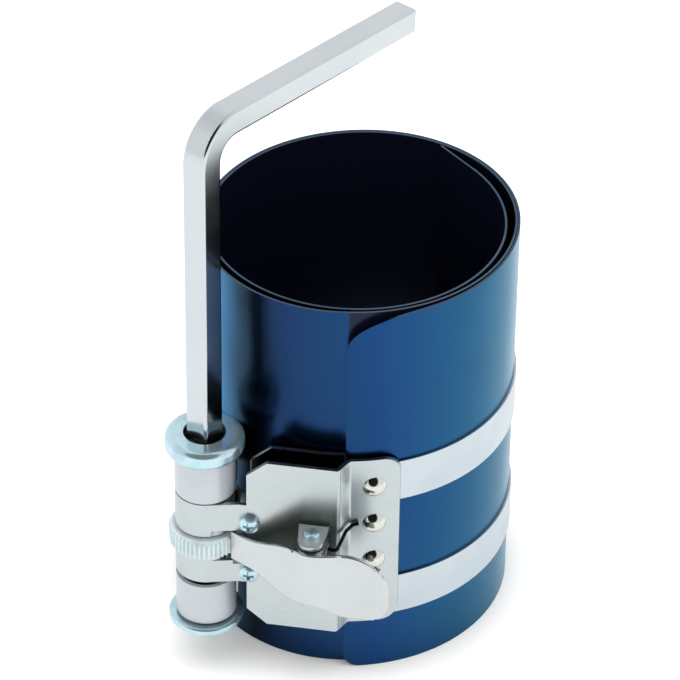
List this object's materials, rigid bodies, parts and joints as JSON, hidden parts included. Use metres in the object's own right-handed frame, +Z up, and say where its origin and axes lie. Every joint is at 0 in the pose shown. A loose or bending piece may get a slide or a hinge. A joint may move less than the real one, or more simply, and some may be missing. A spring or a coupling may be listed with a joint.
{
  "type": "piston ring compressor",
  "caption": "Coiled spring-steel sleeve that steel bands, wound on a ratchet spindle by a square key, draw tight round a piston's rings; a sprung lever lets it open again.",
  "frame": {"origin": "on the bore's axis, at the foot of the sleeve", "axes": "+Z up along the bore, the bracket with its lever faces -Y, the spindle is to the left, at -X"},
  "size_m": [0.0589, 0.0713, 0.1181],
  "materials": {
    "blued_steel": "tempered blue spring steel, satin",
    "band_steel": "bright satin steel strip",
    "nickel": "bright nickel plate",
    "zinc": "blue-white zinc plate",
    "spring_wire": "black oiled spring wire"
  },
  "bodies": {
    "frame": {"sleeve": "blued_steel", "upper_band": "band_steel", "lower_band": "band_steel", "bracket": "nickel", "pivot_screw": "zinc", "pivot_nut": "zinc", "torsion_spring": "spring_wire", "upper_clamp_screw": "zinc", "lower_clamp_screw": "zinc", "upper_clamp_nut": "zinc", "lower_clamp_nut": "zinc", "upper_band_rivet": "nickel", "upper_sleeve_rivet": "nickel", "lower_sleeve_rivet": "nickel", "lower_band_rivet": "nickel"},
    "spindle": {"spindle": "zinc", "top_flange": "zinc", "bottom_flange": "zinc", "ratchet_wheel": "zinc", "upper_band_coil": "band_steel", "lower_band_coil": "band_steel"},
    "key": {"square_key": "nickel"},
    "lever": {"release_lever": "nickel"}
  },
  "joints": [
    {"name": "spindle_turn", "type": "hinge", "parent": "frame", "child": "spindle", "pos_m": [-0.0221, -0.02977, 0.03], "axis": [0, 0, 1], "continuous": true},
    {"name": "key_lift", "type": "slide", "parent": "spindle", "child": "key", "axis": [0, 0, 1], "range_m": [0, 0.045]},
    {"name": "lever_release", "type": "hinge", "parent": "frame", "child": "lever", "pos_m": [-0.00135, -0.03747, 0.03], "axis": [0, 0, 1], "range_deg": [0, 12], "stiffness_Nm_per_rad": 0.1, "springref_deg": -17.19, "deforming": ["torsion_spring"]}
  ]
}
